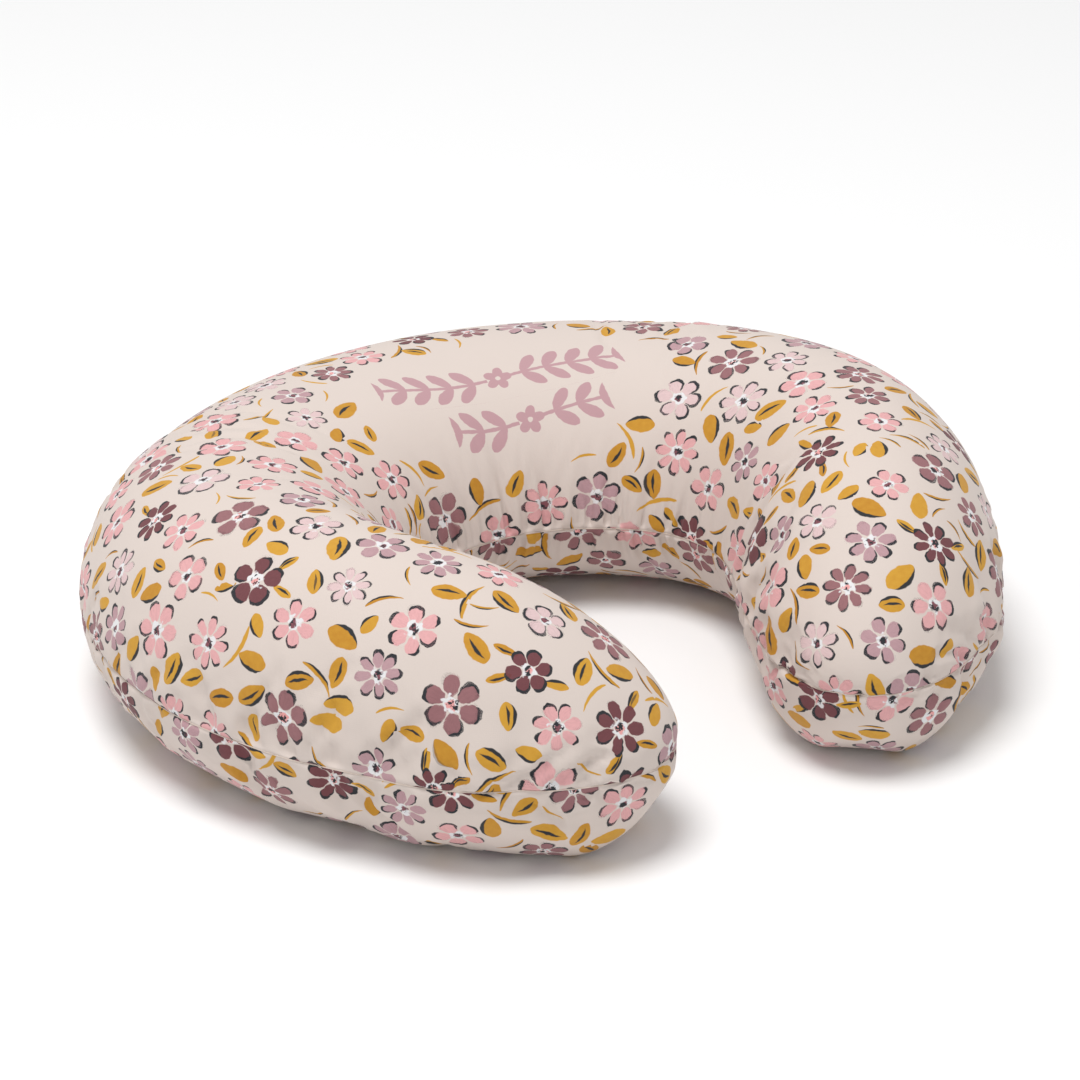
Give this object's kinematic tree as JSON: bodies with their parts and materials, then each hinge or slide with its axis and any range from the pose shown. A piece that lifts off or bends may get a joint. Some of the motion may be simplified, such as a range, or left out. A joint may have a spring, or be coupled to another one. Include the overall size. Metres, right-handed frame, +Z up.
{
  "type": "nursing pillow",
  "caption": "C-shaped fibre-filled nursing pillow in a zipped, flower-printed slipcover, with a waist opening between its two arms.",
  "frame": {"origin": "under the middle of the pillow's box, on the surface that it lies on", "axes": "+Z up; +X across the two arms; +Y towards the closed back, so the waist opening faces -Y"},
  "size_m": [0.5602, 0.5014, 0.1583],
  "materials": {
    "cover_fabric": "matte",
    "cover_thread": "matte",
    "label_satin": "satin",
    "zip_tape": "matte",
    "zip_coil": "satin",
    "zip_stop": "satin",
    "slider_enamel": "gloss",
    "casing_cloth": "matte",
    "casing_thread": "matte",
    "fibre": "matte"
  },
  "bodies": {
    "root": {"cover_top_panel": "cover_fabric", "cover_bottom_panel": "cover_fabric", "cover_seam_thread": "cover_thread", "cover_care_label": "label_satin", "inner_law_label": "label_satin", "zip_tape_upper": "zip_tape", "zip_tape_lower": "zip_tape", "zip_coil_upper": "zip_coil", "zip_coil_lower": "zip_coil", "zip_top_stop_upper": "zip_stop", "zip_top_stop_lower": "zip_stop", "zip_bottom_stop": "zip_stop", "zip_topstitch_upper": "cover_thread", "zip_topstitch_lower": "cover_thread", "zip_bartack_closed": "cover_thread", "zip_bartack_open": "cover_thread", "inner_casing_top": "casing_cloth", "inner_casing_bottom": "casing_cloth", "inner_casing_seam_thread": "casing_thread", "inner_closing_stitch": "casing_thread", "fibre_fill": "fibre"},
    "slider": {"zip_slider_body": "slider_enamel"},
    "pull_tab": {"zip_pull_tab": "slider_enamel"}
  },
  "joints": [
    {"name": "zip_slide", "type": "hinge", "parent": "root", "child": "slider", "pos_m": [0, -0.06167, 0.058], "axis": [0, 0, 1], "range_deg": [0, 54.48]},
    {"name": "pull_tab_swing", "type": "hinge", "parent": "slider", "child": "pull_tab", "pos_m": [0.14401, 0.21694, 0.058], "axis": [0, 0, -1], "range_deg": [0, 165]}
  ]
}
